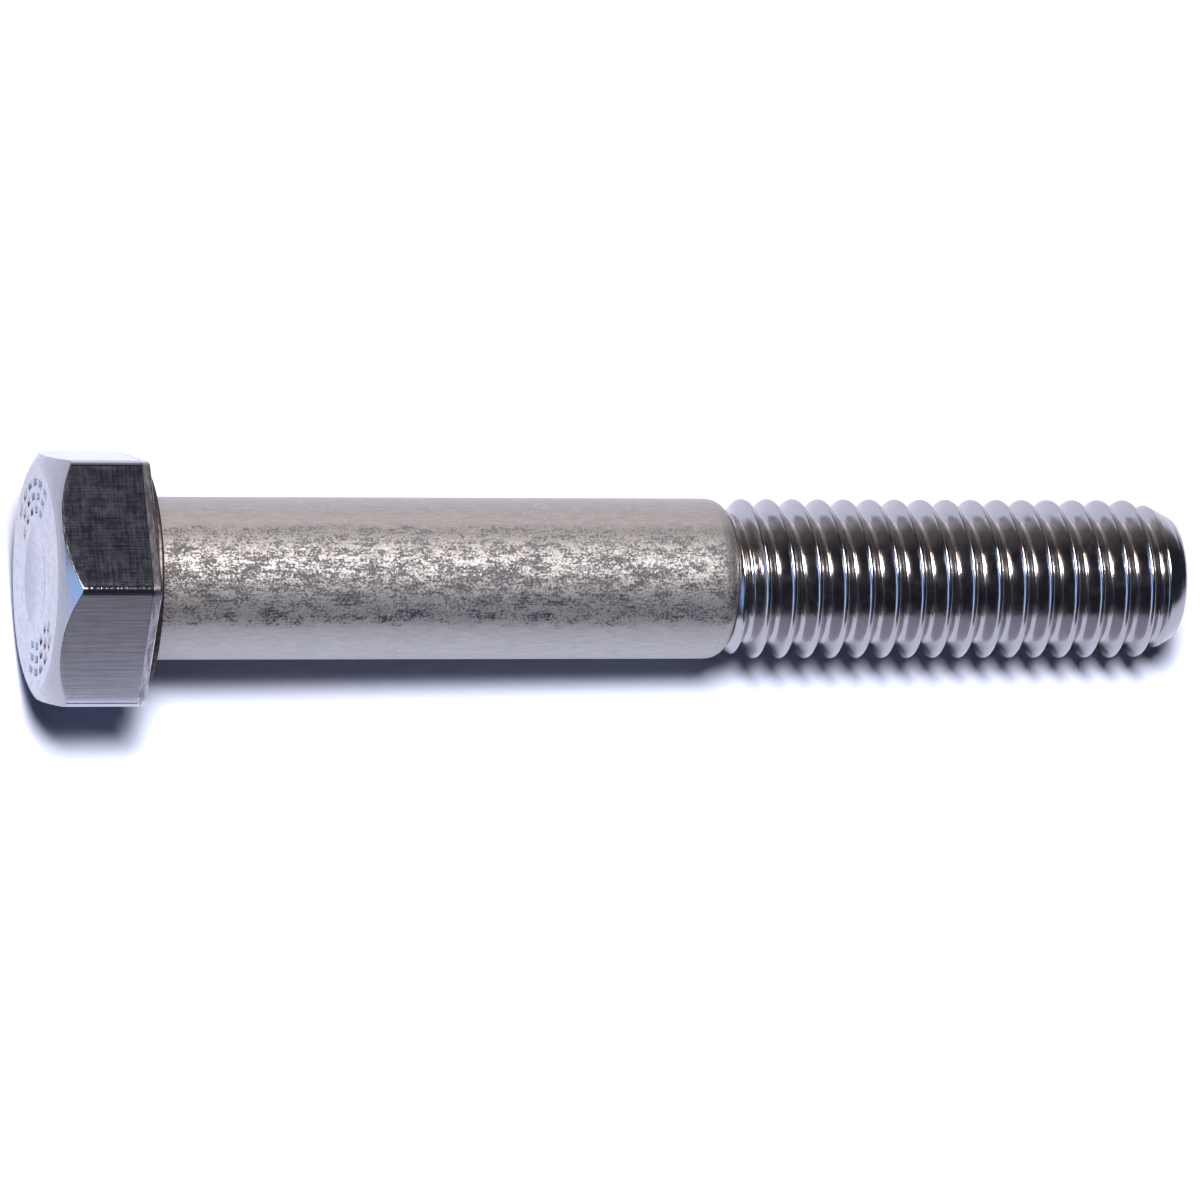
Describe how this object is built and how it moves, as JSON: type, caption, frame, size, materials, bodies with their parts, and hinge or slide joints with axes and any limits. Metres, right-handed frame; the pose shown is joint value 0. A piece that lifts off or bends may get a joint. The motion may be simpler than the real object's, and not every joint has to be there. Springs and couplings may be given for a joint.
{
  "type": "hex bolt",
  "caption": "Hexagon-headed bolt with a plain shank and a rolled thread at the end, for clamping parts with a nut or tapped hole.",
  "frame": {"origin": "centre of the flat end of the point, on the axis of the bolt; the under-head bearing plane is at x = -63.1 mm", "axes": "+X along the bolt from the head to the point, +Z and -Z out of two opposite wrench flats, +Y out of a corner of the hexagon"},
  "size_m": [0.0693, 0.0164, 0.0142],
  "materials": {
    "head_steel": "forged and trimmed stainless steel, fine cross scratches on the flats, smoother crown",
    "washer_steel": "smooth pressed stainless steel",
    "shank_steel": "drawn stainless steel, satin, with small pits and handling marks",
    "thread_steel": "rolled stainless steel, burnished bright"
  },
  "bodies": {
    "root": {"head": "head_steel", "washer_face": "washer_steel", "shank": "shank_steel", "thread": "thread_steel"}
  },
  "joints": []
}
